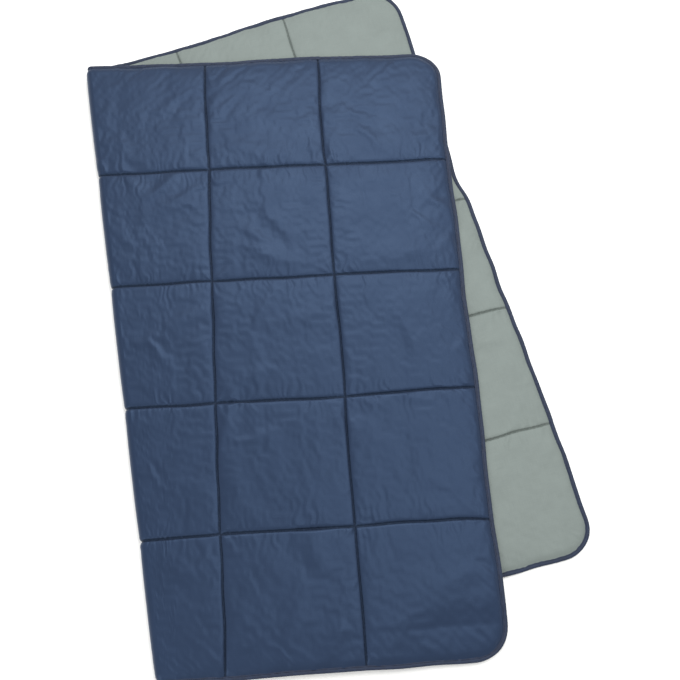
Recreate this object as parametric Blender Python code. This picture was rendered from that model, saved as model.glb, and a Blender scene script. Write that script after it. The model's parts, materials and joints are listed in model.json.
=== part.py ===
"""Quilted camp blanket, folded once.

The blanket is a stack of three layers (woven face cloth, batting, woven lining) quilted
into six columns and five rows, with tape bound round the edge.  It lies folded along a
crease that runs a few degrees off the columns, so the upper half is turned against the
lower one.  The crease runs along Y with the head end at +Y, and the cloth reaches towards
+X.  Sizes are in millimetres and become metres when a mesh is made.
"""
import math

import bmesh
import bpy
from mathutils import Vector

MM = 0.001

# Quilting layout
COLUMN_PITCH = 290.0
ROW_PITCH = 300.0
ROW_COUNT = 5
SIDE_MARGIN = 20.0
HEAD_MARGIN = 20.0
LENGTH = HEAD_MARGIN + ROW_COUNT * ROW_PITCH
CORNER_RADIUS = 75.0

# The fold: how far each free edge is from the crease at the head end
UPPER_WIDTH = SIDE_MARGIN + 3 * COLUMN_PITCH
TAKEN_UP_IN_FOLD = 70.0
LOWER_WIDTH = UPPER_WIDTH - TAKEN_UP_IN_FOLD
CREASE_SKEW = math.radians(6.0)
MIDDLE_SEAM = LOWER_WIDTH - 10.0

# How far the lower half's cloth has crept towards the head end, away from the crease
LOWER_CREEP = 14.0
HEAD_BOW = 40.0

# The stack of layers
LOFT = 16.0
CLOTH = 0.8
GAP = 0.3
SEAM_STACK = 3 * CLOTH + 2 * GAP
SHOULDER = 45.0
CREASE_FADE = 50.0
DRAPE_START = 10.0
DRAPE_LENGTH = 120.0

# Edge binding and sewing thread
BINDING_WIDTH = 10.0
BINDING_WALL = 1.0
THREAD = 1.2
STITCH_INSET = 7.5
QUILTED_FROM = BINDING_WIDTH + 1.0
LAYER_INSET = BINDING_WALL + 1.0

# Flat facets round the fold, the same for every layer so that they stay apart
FOLD_STEPS = 8

SIN = math.sin(CREASE_SKEW)
COS = math.cos(CREASE_SKEW)
TAN = math.tan(CREASE_SKEW)

COLUMN_SEAMS = {
    "upper": {1: SIDE_MARGIN + COLUMN_PITCH, 2: SIDE_MARGIN + 2 * COLUMN_PITCH},
    "lower": {
        5: SIDE_MARGIN + COLUMN_PITCH,
        4: SIDE_MARGIN + 2 * COLUMN_PITCH,
        3: MIDDLE_SEAM,
    },
}
ROW_SEAMS = {n: HEAD_MARGIN + n * ROW_PITCH for n in range(1, ROW_COUNT)}
# The v from which the middle seam lies clear of the full cloth beside the crease
MIDDLE_SEAM_FROM = (CREASE_FADE + 0.5 * GAP / COS - (LOWER_WIDTH - MIDDLE_SEAM)) / TAN

NAVY = (0.035, 0.065, 0.130)
SAGE = (0.300, 0.350, 0.310)
TAPE = (0.022, 0.034, 0.070)
FILL = (0.800, 0.800, 0.770)
NAVY_THREAD = (0.015, 0.025, 0.060)
SAGE_THREAD = (0.180, 0.220, 0.190)


def clamp(value):
    return max(0.0, min(1.0, value))


def smooth(value):
    value = clamp(value)
    return value * value * (3.0 - 2.0 * value)


def mix(first, second, share):
    return first + (second - first) * share


# Where cloth lies. Each half has its own coordinates: s from its free edge towards the
# crease, and v from the head end towards the foot.


def crease(half, v):
    """The s at which a half ends, just short of the crease line."""
    if half == "upper":
        return UPPER_WIDTH - v * TAN - 0.5 * GAP / COS
    return LOWER_WIDTH + v * TAN - 0.5 * GAP / COS


def plan(half, s, v):
    """Plan position of a point of a half, with the crease's head end at the origin."""
    if half == "upper":
        reach = UPPER_WIDTH - s
        return reach * COS - v * SIN, -reach * SIN - v * COS
    reach = LOWER_WIDTH - s
    x = reach * COS + v * SIN
    head = clamp(1.0 - v / (HEAD_MARGIN + ROW_PITCH)) ** 2
    return x, reach * SIN - v * COS + creep(x) + HEAD_BOW * head * smooth(x / 700.0)


def creep(x):
    return LOWER_CREEP * smooth(x / 850.0)


def beyond_lower(x, y):
    """How far a plan position lies outside the lower half's outline."""
    y = y - creep(x)
    s = LOWER_WIDTH - x * COS - y * SIN
    v = x * SIN - y * COS
    return max(-s, -v, v - LENGTH)


def drape(half, s, v):
    """How far the upper half sinks where nothing lies under it, level across its margins."""
    if half == "lower":
        return 0.0
    v = max(CORNER_RADIUS, min(LENGTH - CORNER_RADIUS, v))
    x, y = plan(half, max(s, CORNER_RADIUS), v)
    return (LOFT - 0.5 * GAP) * smooth((beyond_lower(x, y) - DRAPE_START) / DRAPE_LENGTH)


def rounded(s, v):
    """Move a grid position so that the two free corners of a half become round."""
    centre_s = CORNER_RADIUS
    centre_v = CORNER_RADIUS if v < 0.5 * LENGTH else LENGTH - CORNER_RADIUS
    ds = min(s - centre_s, 0.0)
    dv = min(v - centre_v, 0.0) if v < 0.5 * LENGTH else max(v - centre_v, 0.0)
    if ds == 0.0 or dv == 0.0:
        return s, v
    scale = max(abs(ds), abs(dv)) / math.hypot(ds, dv)
    return centre_s + ds * scale, centre_v + dv * scale


# How thick the quilting is. Each profile is 0 on a seam and 1 in the middle of a cell.


def flat_profile(distance):
    return clamp(distance / SHOULDER)


def domed_profile(distance):
    return 1.0 - (1.0 - clamp(distance / 145.0)) ** 3


def from_binding(s, v):
    """Distance in from the binding's inner edge, 0 under the binding."""
    distance = min(s, v, LENGTH - v)
    ds = CORNER_RADIUS - s
    dv = CORNER_RADIUS - min(v, LENGTH - v)
    if ds > 0.0 and dv > 0.0:
        distance = CORNER_RADIUS - math.hypot(ds, dv)
    return max(0.0, distance - QUILTED_FROM)


def fullness(half, s, v, profile):
    """Share of the loft that is left at a point between its seams."""
    across = profile(min(abs(s - line) for line in COLUMN_SEAMS[half].values()))
    near = 1.0 - clamp((crease(half, v) - s) / CREASE_FADE)
    across = mix(across, 1.0, near)
    along = profile(min(abs(v - line) for line in ROW_SEAMS.values()))
    return across * along * profile(from_binding(s, v))


def crease_fullness(v, profile):
    along = profile(min(abs(v - line) for line in ROW_SEAMS.values()))
    return along * profile(from_binding(CORNER_RADIUS + LENGTH, v))


def face_levels(full_navy, full_sage):
    """Heights of the navy and the sage surface of a half that lies navy side down."""
    slack = 0.5 * (LOFT - SEAM_STACK)
    navy = slack * (1.0 - full_navy)
    sage = LOFT - 0.5 * GAP - (slack - 0.5 * GAP) * (1.0 - full_sage)
    return navy, sage


def levels(half, s, v):
    """Height of the navy face and of the sage face at a point of a half, as it lies."""
    navy_profile = domed_profile if half == "upper" else flat_profile
    navy, sage = face_levels(
        fullness(half, s, v, navy_profile), fullness(half, s, v, flat_profile)
    )
    if half == "upper":
        sink = drape(half, s, v)
        return 2.0 * LOFT - navy - sink, 2.0 * LOFT - sage - sink
    return navy, sage


def placed(half, s, v, height):
    x, y = plan(half, s, v)
    return Vector((x, y, height))


# Meshes


def material(name, colour, roughness):
    made = bpy.data.materials.new(name)
    made.use_nodes = True
    shader = made.node_tree.nodes["Principled BSDF"]
    shader.inputs["Base Color"].default_value = (*colour, 1.0)
    shader.inputs["Roughness"].default_value = roughness
    made.diffuse_color = (*colour, 1.0)
    return made


def add_object(name, points, faces, colour, roughness):
    """One closed object from points in millimetres, with its faces turned outwards."""
    mesh = bpy.data.meshes.new(name)
    build = bmesh.new()
    verts = [build.verts.new(Vector(p) * MM) for p in points]
    for face in faces:
        build.faces.new([verts[i] for i in face])
    bmesh.ops.recalc_face_normals(build, faces=build.faces)
    for face in build.faces:
        face.smooth = True
    build.to_mesh(mesh)
    build.free()
    mesh.materials.append(material(name + "_material", colour, roughness))
    made = bpy.data.objects.new(name, mesh)
    bpy.context.scene.collection.objects.link(made)
    return made


def sheet_between(first, second):
    """Points and faces of the closed solid between two grids of the same size."""
    rows, columns = len(first), len(first[0])
    points = [p for row in first for p in row] + [p for row in second for p in row]
    half = rows * columns

    def at(side, i, j):
        return side * half + i * columns + j

    faces = []
    for i in range(rows - 1):
        for j in range(columns - 1):
            for side in (0, 1):
                faces.append(
                    [at(side, i, j), at(side, i + 1, j), at(side, i + 1, j + 1), at(side, i, j + 1)]
                )
    for i in range(rows - 1):
        for j in (0, columns - 1):
            faces.append([at(0, i, j), at(0, i + 1, j), at(1, i + 1, j), at(1, i, j)])
    for j in range(columns - 1):
        for i in (0, rows - 1):
            faces.append([at(0, i, j), at(0, i, j + 1), at(1, i, j + 1), at(1, i, j)])
    return points, faces


def swept(sections):
    """Points and faces of a solid swept through closed sections with the same count."""
    count = len(sections[0])
    points = [p for section in sections for p in section]
    faces = []
    for i in range(len(sections) - 1):
        for j in range(count):
            k = (j + 1) % count
            faces.append(
                [i * count + j, i * count + k, (i + 1) * count + k, (i + 1) * count + j]
            )
    faces.append(list(range(count)))
    last = (len(sections) - 1) * count
    faces.append([last + j for j in range(count)])
    return points, faces


# Grid lines. A line across a half is a base position and a share of the way from there
# to the crease.


def column_lines(half):
    first = SIDE_MARGIN + COLUMN_PITCH
    second = first + COLUMN_PITCH
    lines = [0.0, QUILTED_FROM, 0.5 * CORNER_RADIUS, CORNER_RADIUS]
    lines += [first - SHOULDER, first, first + SHOULDER]
    lines += [second - SHOULDER, second, second + SHOULDER]
    if half == "upper":
        lines += [0.5 * (CORNER_RADIUS + first - SHOULDER), 0.5 * (first + second)]
    else:
        lines += [0.5 * (first + second), MIDDLE_SEAM - SHOULDER, MIDDLE_SEAM]
    lines = sorted(lines)
    return [(line, 0.0) for line in lines] + [(lines[-1], share) for share in (0.5, 1.0)]


def row_lines(half):
    lines = [0.0, QUILTED_FROM, 0.5 * CORNER_RADIUS, CORNER_RADIUS]
    lines += [LENGTH - line for line in lines]
    for seam in ROW_SEAMS.values():
        lines += [seam - SHOULDER, seam, seam + SHOULDER]
    if half == "upper":
        seams = [CORNER_RADIUS - SHOULDER] + list(ROW_SEAMS.values())
        seams.append(LENGTH - CORNER_RADIUS + SHOULDER)
        lines += [0.5 * (a + b) for a, b in zip(seams, seams[1:])]
    else:
        lines.append(MIDDLE_SEAM_FROM)
    return sorted(lines)


def inset(v):
    """Pull a line that is on the head or foot edge in, to clear the binding's web."""
    return max(LAYER_INSET, min(LENGTH - LAYER_INSET, v))


def add_layer(half, name, inner, outer, colour, roughness):
    """A layer of one half. Inner and outer are depths below its navy or its sage face."""
    low, high = [], []
    for v in row_lines(half):
        low_row, high_row = [], []
        for base, share in column_lines(half):
            v_at = inset(v)
            s = base + share * (crease(half, v_at) - base)
            s, v_at = rounded(max(s, LAYER_INSET), v_at)
            navy, sage = levels(half, s, v_at)
            up = 1.0 if sage > navy else -1.0
            low_row.append(placed(half, s, v_at, depth(navy, sage, up, inner)))
            high_row.append(placed(half, s, v_at, depth(navy, sage, up, outer)))
        low.append(low_row)
        high.append(high_row)
    points, faces = sheet_between(low, high)
    add_object(name, points, faces, colour, roughness)


def depth(navy, sage, up, mark):
    """A height in the stack: positive marks count from the navy face, negative from the sage."""
    if mark[0] == "navy":
        return navy + up * mark[1]
    return sage - up * mark[1]


def arc(centre_s, centre_v, start, end, count):
    for k in range(count + 1):
        angle = mix(start, end, k / count)
        yield math.cos(angle), math.sin(angle), centre_s, centre_v


def edge_path(half, offset):
    """The edge of a half at an offset inwards, from the crease round to the crease."""
    radius = CORNER_RADIUS - offset
    near, far = offset, LENGTH - offset
    across = [line for line, share in column_lines(half) if line > CORNER_RADIUS and not share]
    down = [v for v in row_lines(half) if CORNER_RADIUS < v < LENGTH - CORNER_RADIUS]
    path = [(crease(half, near), near), (0.5 * (across[-1] + crease(half, near)), near)]
    path += [(s, near) for s in reversed(across)]
    for c, d, s, v in arc(CORNER_RADIUS, CORNER_RADIUS, 1.5 * math.pi, math.pi, 8):
        path.append((s + radius * c, v + radius * d))
    path += [(near, v) for v in down]
    for c, d, s, v in arc(CORNER_RADIUS, LENGTH - CORNER_RADIUS, math.pi, 0.5 * math.pi, 8):
        path.append((s + radius * c, v + radius * d))
    path += [(s, far) for s in across]
    path += [(0.5 * (across[-1] + crease(half, far)), far), (crease(half, far), far)]
    return path


def edge_levels(half, s, v):
    """Heights of the middle of the stack and of the direction to the navy face."""
    middle = 0.5 * LOFT
    if half == "lower":
        return middle, -1.0
    return 2.0 * LOFT - middle - drape(half, s, v), 1.0


def add_binding(half, name):
    """Tape folded over the edge, open towards the quilting."""
    inside = 0.5 * SEAM_STACK + GAP
    outside = inside + BINDING_WALL
    profile = [
        (0.0, -outside),
        (BINDING_WIDTH, -outside),
        (BINDING_WIDTH, -inside),
        (BINDING_WALL, -inside),
        (BINDING_WALL, inside),
        (BINDING_WIDTH, inside),
        (BINDING_WIDTH, outside),
        (0.0, outside),
    ]
    paths = [edge_path(half, offset) for offset, _ in profile]
    sections = []
    for k in range(len(paths[0])):
        section = []
        for path, (_, rise) in zip(paths, profile):
            s, v = path[k]
            middle, _ = edge_levels(half, s, v)
            section.append(placed(half, s, v, middle + rise))
        sections.append(section)
    points, faces = swept(sections)
    add_object(name, points, faces, TAPE, 0.8)


def add_binding_thread(half, side, name, colour):
    """The line of stitching that holds the binding, on one side of it."""
    base = 0.5 * SEAM_STACK + 2 * GAP + BINDING_WALL
    paths = [edge_path(half, STITCH_INSET + shift) for shift in (-0.5 * THREAD, 0.5 * THREAD)]
    sections = []
    for left, right in zip(*paths):
        section = []
        for point, rise in ((left, 0.0), (right, 0.0), (right, THREAD), (left, THREAD)):
            middle, navy_side = edge_levels(half, *point)
            section.append(placed(half, *point, middle + navy_side * side * (base + rise)))
        sections.append(section)
    points, faces = swept(sections)
    add_object(name, points, faces, colour, 0.6)


def seam_heights(half, s, v, side):
    """Height of the cloth under a thread and the direction away from the cloth."""
    navy, sage = levels(half, s, v)
    if side == 1:
        return navy, 1.0 if navy > sage else -1.0
    return sage, 1.0 if sage > navy else -1.0


def add_seam_thread(half, side, stations, along_rows, name, colour):
    """A thread lying on a seam. A station is s, v and a lift over a crossing thread."""
    sections = []
    for s, v, lift in stations:
        height, away = seam_heights(half, s, v, side)
        low = height + away * (GAP + lift)
        high = low + away * THREAD
        shift = 0.5 * THREAD
        ends = [(s, v - shift), (s, v + shift)] if along_rows else [(s - shift, v), (s + shift, v)]
        section = [placed(half, *ends[0], low), placed(half, *ends[1], low)]
        section += [placed(half, *ends[1], high), placed(half, *ends[0], high)]
        sections.append(section)
    points, faces = swept(sections)
    add_object(name, points, faces, colour, 0.6)


def row_stations(half, v):
    start = BINDING_WIDTH + 1.0
    end = crease(half, v) - 0.5
    lines = [line for line, share in column_lines(half) if line > start and not share]
    lines = lines[::2] if half == "lower" else [lines[-1]]
    return [(s, v, 0.0) for s in [start] + lines + [end]]


def column_stations(half, s):
    """Stations down a column seam, lifted where it crosses the row seams."""
    start = BINDING_WIDTH + 1.0
    if crease(half, start) - s < CREASE_FADE + 5.0:
        start = (CREASE_FADE + 5.0 - (crease(half, 0.0) - s)) / TAN
    end = LENGTH - BINDING_WIDTH - 1.0
    if half == "upper" and crease(half, end) - s < CREASE_FADE:
        end = min(end, (UPPER_WIDTH - s - CREASE_FADE) / TAN)
    lift = GAP + THREAD
    stations = [(s, start, 0.0)]
    for v in ROW_SEAMS.values():
        if v < start + 10.0 or v > end - 10.0:
            continue
        stations += [(s, v - 5.0, 0.0), (s, v - 1.5, lift), (s, v + 1.5, lift), (s, v + 5.0, 0.0)]
    if half == "upper":
        stations += [(s, v, 0.0) for v in row_lines(half) if end - 5.0 > v > stations[-1][1] + 5.0]
    stations.append((s, end, 0.0))
    return stations


# The cloth that turns round the fold: half rings about the crease


def ring_point(v, angle, radius):
    """A point on a half ring: angle 0 is under the crease and pi above it."""
    x = -0.5 * GAP - radius * math.sin(angle)
    return Vector((x, -v / COS, LOFT - radius * math.cos(angle)))


def outer_radius(v, angle):
    slack = 0.5 * (LOFT - SEAM_STACK)
    below = LOFT - slack * (1.0 - crease_fullness(v, flat_profile))
    above = LOFT - slack * (1.0 - crease_fullness(v, domed_profile))
    return mix(below, above, 0.5 - 0.5 * math.cos(angle))


def inner_radius(v):
    slack = 0.5 * (LOFT - SEAM_STACK) - 2 * GAP
    return 2 * GAP + slack * (1.0 - crease_fullness(v, flat_profile))


def fold_angles():
    return [math.pi * k / FOLD_STEPS for k in range(FOLD_STEPS + 1)]


def add_fold_layer(name, inner, outer, colour, roughness):
    grids = []
    for radius in (inner, outer):
        grid = []
        for line in row_lines("upper"):
            v = inset(line)
            grid.append([ring_point(v, angle, radius(v, angle)) for angle in fold_angles()])
        grids.append(grid)
    points, faces = sheet_between(*grids)
    add_object(name, points, faces, colour, roughness)


def add_fold_binding(name, edge, direction):
    """The binding where it goes round the end of the fold."""
    inside = 0.5 * SEAM_STACK + GAP
    outside = inside + BINDING_WALL
    middle = 0.5 * LOFT
    profile = [
        (0.0, -outside),
        (BINDING_WIDTH, -outside),
        (BINDING_WIDTH, -inside),
        (BINDING_WALL, -inside),
        (BINDING_WALL, inside),
        (BINDING_WIDTH, inside),
        (BINDING_WIDTH, outside),
        (0.0, outside),
    ]
    sections = []
    for angle in fold_angles():
        sections.append(
            [ring_point(edge + direction * d, angle, middle + rise) for d, rise in profile]
        )
    points, faces = swept(sections)
    add_object(name, points, faces, TAPE, 0.8)


def add_fold_thread(name, v, radius, colour):
    """A row seam's thread where it goes round the fold."""
    sections = []
    low, high = sorted((radius, radius + math.copysign(THREAD, radius - 0.5 * LOFT)))
    for angle in fold_angles():
        section = [ring_point(v - 0.5 * THREAD, angle, low)]
        section.append(ring_point(v + 0.5 * THREAD, angle, low))
        section.append(ring_point(v + 0.5 * THREAD, angle, high))
        section.append(ring_point(v - 0.5 * THREAD, angle, high))
        sections.append(section)
    points, faces = swept(sections)
    add_object(name, points, faces, colour, 0.6)


# The parts of the blanket


def build_half(half):
    face = [("navy", 0.0), ("navy", CLOTH)]
    fill = [("navy", CLOTH + GAP), ("sage", CLOTH + GAP)]
    back = [("sage", CLOTH), ("sage", 0.0)]
    add_layer(half, "outer_shell_" + half, *face, NAVY, 0.5)
    add_layer(half, "batting_" + half, *fill, FILL, 0.95)
    add_layer(half, "lining_" + half, *back, SAGE, 0.7)
    add_binding(half, "edge_binding_" + half)
    add_binding_thread(half, 1.0, half + "_binding_needle_thread", NAVY_THREAD)
    add_binding_thread(half, -1.0, half + "_binding_bobbin_thread", NAVY_THREAD)
    for side, thread, colour in ((1, "needle", NAVY_THREAD), (-1, "bobbin", SAGE_THREAD)):
        for number, s in COLUMN_SEAMS[half].items():
            name = f"{half}_column_{number}_{thread}_thread"
            add_seam_thread(half, side, column_stations(half, s), False, name, colour)
        for number, v in ROW_SEAMS.items():
            name = f"{half}_row_{number}_{thread}_thread"
            add_seam_thread(half, side, row_stations(half, v), True, name, colour)


def build_fold():
    step = CLOTH + GAP
    add_fold_layer(
        "outer_shell_fold",
        lambda v, a: outer_radius(v, a) - CLOTH,
        outer_radius,
        NAVY,
        0.5,
    )
    add_fold_layer(
        "batting_fold",
        lambda v, a: inner_radius(v) + step,
        lambda v, a: outer_radius(v, a) - step,
        FILL,
        0.95,
    )
    add_fold_layer(
        "lining_fold",
        lambda v, a: inner_radius(v),
        lambda v, a: inner_radius(v) + CLOTH,
        SAGE,
        0.7,
    )
    add_fold_binding("edge_binding_fold_head", 0.0, 1.0)
    add_fold_binding("edge_binding_fold_foot", LENGTH, -1.0)
    outside = 0.5 * (LOFT + SEAM_STACK) + GAP
    inside = 0.5 * (LOFT - SEAM_STACK) - GAP
    for number, v in ROW_SEAMS.items():
        add_fold_thread(f"fold_row_{number}_needle_thread", v, outside, NAVY_THREAD)
        add_fold_thread(f"fold_row_{number}_bobbin_thread", v, inside, SAGE_THREAD)


def centre_on_ground():
    """Put the middle of the blanket's footprint at the origin."""
    made = list(bpy.context.scene.objects)
    corners = [v.co for o in made for v in o.data.vertices]
    low = [min(c[k] for c in corners) for k in range(3)]
    high = [max(c[k] for c in corners) for k in range(3)]
    shift = Vector((-0.5 * (low[0] + high[0]), -0.5 * (low[1] + high[1]), -low[2]))
    for o in made:
        for v in o.data.vertices:
            v.co += shift
    print("crease at", [round(c, 6) for c in shift], "size", [h - l for h, l in zip(high, low)])


for old in list(bpy.data.objects):
    bpy.data.objects.remove(old, do_unlink=True)

build_half("lower")
build_half("upper")
build_fold()
centre_on_ground()
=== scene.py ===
"""Looks of the quilted camp blanket: every sewn piece as cloth, tape, fibre or thread.

The blanket lies folded along a crease. Each half has its own coordinates: s runs from the
free edge towards the crease and v from the head end towards the foot, both in millimetres.
Every piece is first drawn in those coordinates and then laid down in the frame.
"""
import json
import math

import bpy
import numpy as np
from bpy.props import FloatProperty, FloatVectorProperty, IntProperty, PointerProperty
from mathutils import Matrix, Vector


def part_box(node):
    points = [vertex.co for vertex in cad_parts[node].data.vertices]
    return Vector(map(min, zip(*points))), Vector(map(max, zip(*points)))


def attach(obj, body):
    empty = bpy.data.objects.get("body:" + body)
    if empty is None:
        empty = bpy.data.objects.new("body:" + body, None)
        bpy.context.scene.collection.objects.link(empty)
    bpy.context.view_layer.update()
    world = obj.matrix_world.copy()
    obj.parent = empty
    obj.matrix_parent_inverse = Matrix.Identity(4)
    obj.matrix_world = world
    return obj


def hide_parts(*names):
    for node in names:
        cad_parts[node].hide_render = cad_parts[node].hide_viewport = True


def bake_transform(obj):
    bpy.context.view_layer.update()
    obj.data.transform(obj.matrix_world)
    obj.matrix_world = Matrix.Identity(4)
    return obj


bl_info = {
    "name": "Camp Blanket",
    "version": (1, 0, 0),
    "blender": (4, 5, 0),
    "location": "3D View > Sidebar > Camp Blanket",
    "description": "Makes the cloth, batting, tape and thread of a folded quilted blanket",
    "category": "Object",
}

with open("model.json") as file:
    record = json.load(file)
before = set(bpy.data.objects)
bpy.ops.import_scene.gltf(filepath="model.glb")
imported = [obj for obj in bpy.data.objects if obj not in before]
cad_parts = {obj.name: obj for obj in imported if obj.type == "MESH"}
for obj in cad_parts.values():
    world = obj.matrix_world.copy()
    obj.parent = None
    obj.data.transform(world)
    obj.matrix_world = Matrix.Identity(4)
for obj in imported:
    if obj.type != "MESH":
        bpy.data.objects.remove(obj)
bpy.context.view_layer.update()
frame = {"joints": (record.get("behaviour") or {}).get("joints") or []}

MM = 0.001
HALVES = ("lower", "upper")

# Quilting layout, the same as the frame's
COLUMN_PITCH = 290.0
ROW_PITCH = 300.0
ROW_COUNT = 5
SIDE_MARGIN = 20.0
HEAD_MARGIN = 20.0
LENGTH = HEAD_MARGIN + ROW_COUNT * ROW_PITCH
CORNER_RADIUS = 75.0
UPPER_WIDTH = SIDE_MARGIN + 3 * COLUMN_PITCH
TAKEN_UP_IN_FOLD = 70.0
LOWER_WIDTH = UPPER_WIDTH - TAKEN_UP_IN_FOLD
CREASE_SKEW = math.radians(6.0)
MIDDLE_SEAM = LOWER_WIDTH - 10.0
LOWER_CREEP = 14.0
HEAD_BOW = 40.0
SIN = math.sin(CREASE_SKEW)
COS = math.cos(CREASE_SKEW)
TAN = math.tan(CREASE_SKEW)

FIRST_COLUMN = SIDE_MARGIN + COLUMN_PITCH
SECOND_COLUMN = FIRST_COLUMN + COLUMN_PITCH
COLUMN_SEAMS = {
    "upper": {1: FIRST_COLUMN, 2: SECOND_COLUMN},
    "lower": {5: FIRST_COLUMN, 4: SECOND_COLUMN, 3: MIDDLE_SEAM},
}
ROW_SEAMS = {n: HEAD_MARGIN + n * ROW_PITCH for n in range(1, ROW_COUNT)}

# The stack of layers, in the frame's sizes
LOFT = 16.0
SEAM_STACK = 2.0
SLACK = 0.5 * (LOFT - SEAM_STACK)
LAYER_INSET = 2.0
CREASE_FADE = 50.0
DRAPE_START = 10.0
DRAPE_LENGTH = 120.0
TAPE_WALL = 1.0
STITCH_INSET = 7.5

# The crease in the frame: where the head end of the crease line is
AXIS = Vector(frame["joints"][0]["pos_m"]) / MM
CREASE_HEAD = np.array(
    [AXIS.x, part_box("outer_shell_fold")[1].y / MM + LAYER_INSET / COS, AXIS.z - LOFT]
)


# What a user would change


def length_property(name, description, default, low, high):
    """A length that a user can change, given here in millimetres."""
    return FloatProperty(
        name=name,
        description=description,
        default=default * MM,
        min=low * MM,
        max=high * MM,
        unit="LENGTH",
        subtype="DISTANCE",
    )


class BlanketSizes(bpy.types.PropertyGroup):
    tape_width: length_property(
        "Tape width", "How far the binding reaches in from the edge", 10.5, 6.0, 16.0
    )
    seam_shoulder: length_property(
        "Seam shoulder", "How wide the steep side of a seam's trench is", 2.8, 2.0, 20.0
    )
    gather_height: length_property(
        "Gather height", "Height of the fine gathers beside the seams and the binding", 0.9, 0.0, 2.0
    )
    crease_height: length_property(
        "Crumple height", "Height of the soft folds that cross the cells", 2.3, 0.0, 4.0
    )
    stitch_length: length_property(
        "Stitch length", "Length of one stitch of the quilting and the binding", 4.0, 2.0, 8.0
    )
    spare_cloth: FloatProperty(
        name="Spare cloth",
        description="How much longer the cloth is than the quilting holds it",
        default=0.0015,
        min=0.0,
        max=0.08,
        subtype="FACTOR",
    )
    seed: IntProperty(
        name="Wrinkle seed",
        description="Picks another set of wrinkles",
        default=7,
        min=0,
    )


def hex_to_linear(code):
    """Linear colour of an sRGB hex value such as #33435e."""
    channels = [int(code[k : k + 2], 16) / 255.0 for k in (1, 3, 5)]
    return tuple(
        c / 12.92 if c <= 0.04045 else ((c + 0.055) / 1.055) ** 2.4 for c in channels
    )


def colour_property(name, description, code):
    return FloatVectorProperty(
        name=name,
        description=description,
        default=hex_to_linear(code),
        size=3,
        min=0.0,
        max=1.0,
        subtype="COLOR",
    )


class BlanketColours(bpy.types.PropertyGroup):
    face: colour_property("Face cloth", "Dyed colour of the navy face", "#1e283b")
    face_gloss: colour_property("Face gloss", "Tint of the navy face's gloss", "#a6cbff")
    lining: colour_property("Lining cloth", "Dyed colour of the sage lining", "#6b7370")
    lining_gloss: colour_property("Lining gloss", "Tint of the sage lining's gloss", "#f4fffa")
    tape: colour_property("Binding tape", "Dyed colour of the binding", "#182338")
    face_thread: colour_property("Face thread", "Thread on the navy side", "#101a30")
    lining_thread: colour_property("Lining thread", "Thread on the sage side", "#66736b")
    batting: colour_property("Batting", "Undyed fibre between the cloths", "#e8e8e2")
    floor: colour_property("Floor", "Pale seamless paper", "#f4f4f2")


# Where cloth lies, as in the frame but for whole arrays of points


def smooth(value):
    value = np.clip(value, 0.0, 1.0)
    return value * value * (3.0 - 2.0 * value)


def crease(half, v):
    """The s at which a half meets the crease line."""
    if half == "upper":
        return UPPER_WIDTH - v * TAN
    return LOWER_WIDTH + v * TAN


def creep(x):
    return LOWER_CREEP * smooth(x / 850.0)


def plan(half, s, v):
    """Plan position of points of a half, with the crease's head end at the origin."""
    if half == "upper":
        reach = UPPER_WIDTH - s
        return reach * COS - v * SIN, -reach * SIN - v * COS
    reach = LOWER_WIDTH - s
    x = reach * COS + v * SIN
    head = np.clip(1.0 - v / (HEAD_MARGIN + ROW_PITCH), 0.0, 1.0) ** 2
    bow = HEAD_BOW * head * smooth(x / 700.0)
    return x, reach * SIN - v * COS + creep(x) + bow


def beyond(half, x, y):
    """How far plan positions lie outside the outline of a half."""
    if half == "lower":
        y = y - creep(x)
        s = LOWER_WIDTH - x * COS - y * SIN
        v = x * SIN - y * COS
    else:
        s = UPPER_WIDTH - x * COS + y * SIN
        v = -x * SIN - y * COS
    return np.maximum(-s, np.maximum(-v, v - LENGTH))


def drape(half, s, v):
    """How far the upper half sinks where nothing lies under it."""
    if half == "lower":
        return np.zeros_like(s)
    held = np.clip(v, CORNER_RADIUS, LENGTH - CORNER_RADIUS)
    x, y = plan(half, np.maximum(s, CORNER_RADIUS), held)
    return LOFT * smooth((beyond("lower", x, y) - DRAPE_START) / DRAPE_LENGTH)


def rounded(s, v):
    """Grid positions moved so that the two free corners of a half become round."""
    centre = np.where(v < 0.5 * LENGTH, CORNER_RADIUS, LENGTH - CORNER_RADIUS)
    ds = np.minimum(s - CORNER_RADIUS, 0.0)
    away = np.where(v < 0.5 * LENGTH, np.minimum(v - centre, 0.0), np.maximum(v - centre, 0.0))
    far = np.hypot(ds, away)
    scale = np.maximum(np.abs(ds), np.abs(away)) / np.where(far > 0.0, far, 1.0)
    corner = (ds < 0.0) & (away != 0.0)
    s = np.where(corner, CORNER_RADIUS + ds * scale, s)
    return s, np.where(corner, centre + away * scale, v)


def from_binding(s, v, sizes):
    """Distance in from the binding's inner edge, 0 under the binding."""
    to_end = np.minimum(v, LENGTH - v)
    inside = np.minimum(s, to_end)
    ds = CORNER_RADIUS - s
    dv = CORNER_RADIUS - to_end
    corner = (ds > 0.0) & (dv > 0.0)
    inside = np.where(corner, CORNER_RADIUS - np.hypot(ds, dv), inside)
    return np.maximum(0.0, inside - sizes.tape_width / MM)


def nearest(value, lines):
    return np.min([np.abs(value - line) for line in lines], axis=0)


# Noise made of sine waves, so that it is the same on every run


def waves(along, length, seed, count=6):
    """Uneven waves along a line, about -1 to 1, of about the given wavelength."""
    chance = np.random.default_rng(seed)
    total = np.zeros_like(along)
    for _ in range(count):
        span = length * chance.uniform(0.65, 1.5)
        total += np.sin(2.0 * math.pi * (along / span + chance.uniform()))
    return total / math.sqrt(count)


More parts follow.
